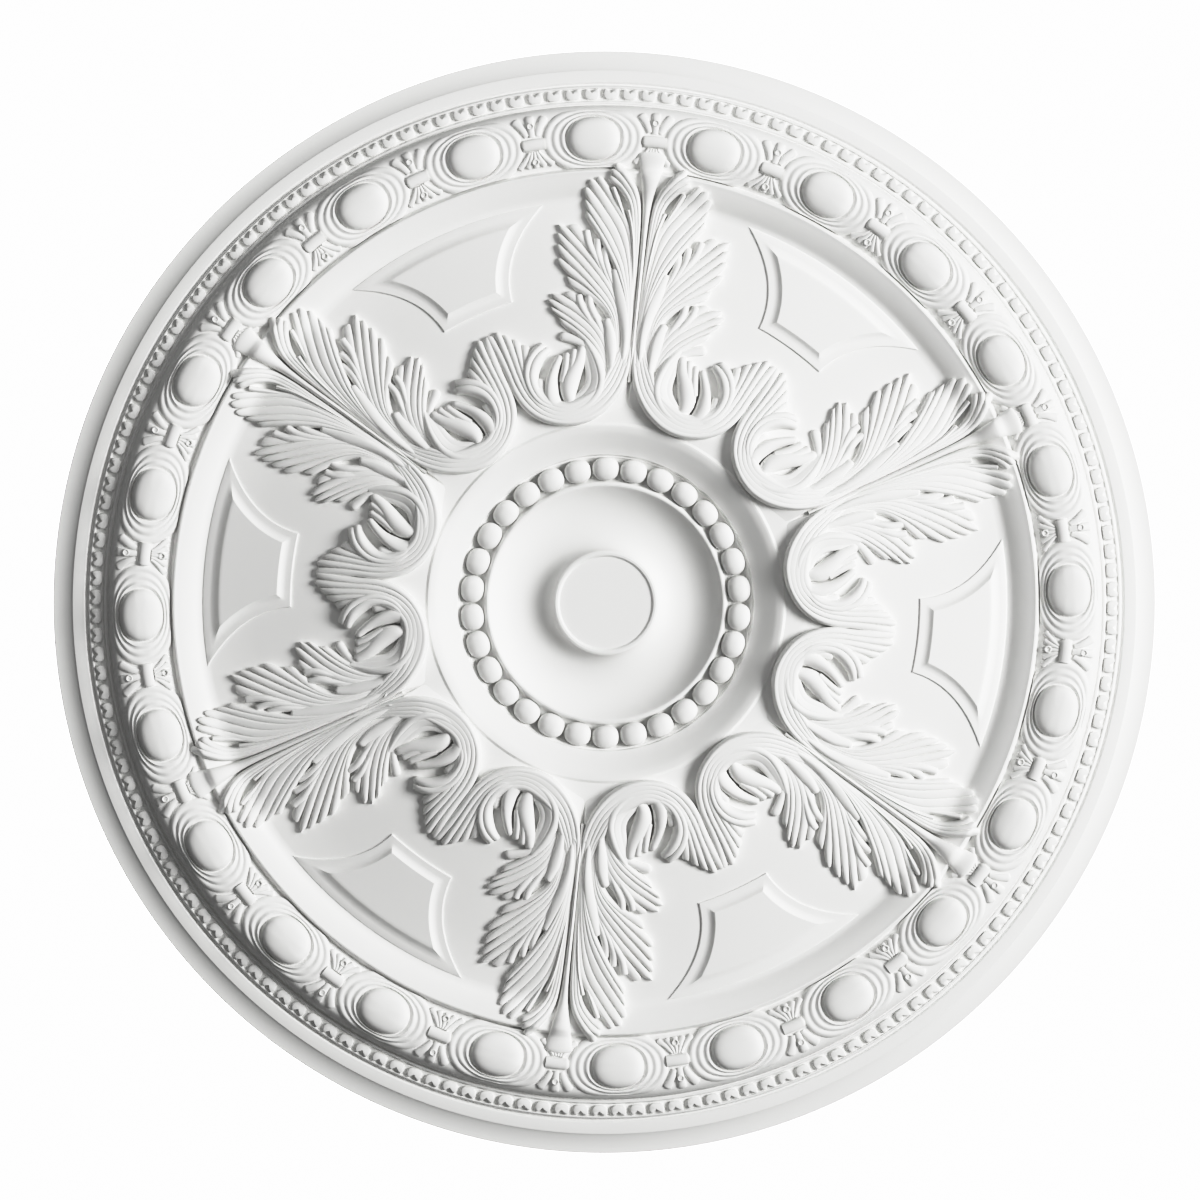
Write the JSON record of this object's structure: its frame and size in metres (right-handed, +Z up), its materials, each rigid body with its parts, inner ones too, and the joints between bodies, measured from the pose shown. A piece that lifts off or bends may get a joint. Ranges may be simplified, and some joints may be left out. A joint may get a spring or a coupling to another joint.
{
  "type": "ceiling rose",
  "caption": "Round cast ceiling rose with acanthus leaves rolling into volutes round a hollowed beaded centre, raised panels and a band of oval medallions.",
  "frame": {"origin": "centre of the flat back, on the ceiling plane", "axes": "+Z up, out of the flat back into the ceiling, so the carving faces -Z; +X and +Y lie in the ceiling plane, and one leaf's axis is 36 degrees from +X towards +Y"},
  "size_m": [0.9496, 0.9496, 0.0545],
  "materials": {
    "white_plaster": "matte"
  },
  "bodies": {
    "root": {"ceiling_rose": "white_plaster"}
  },
  "joints": []
}
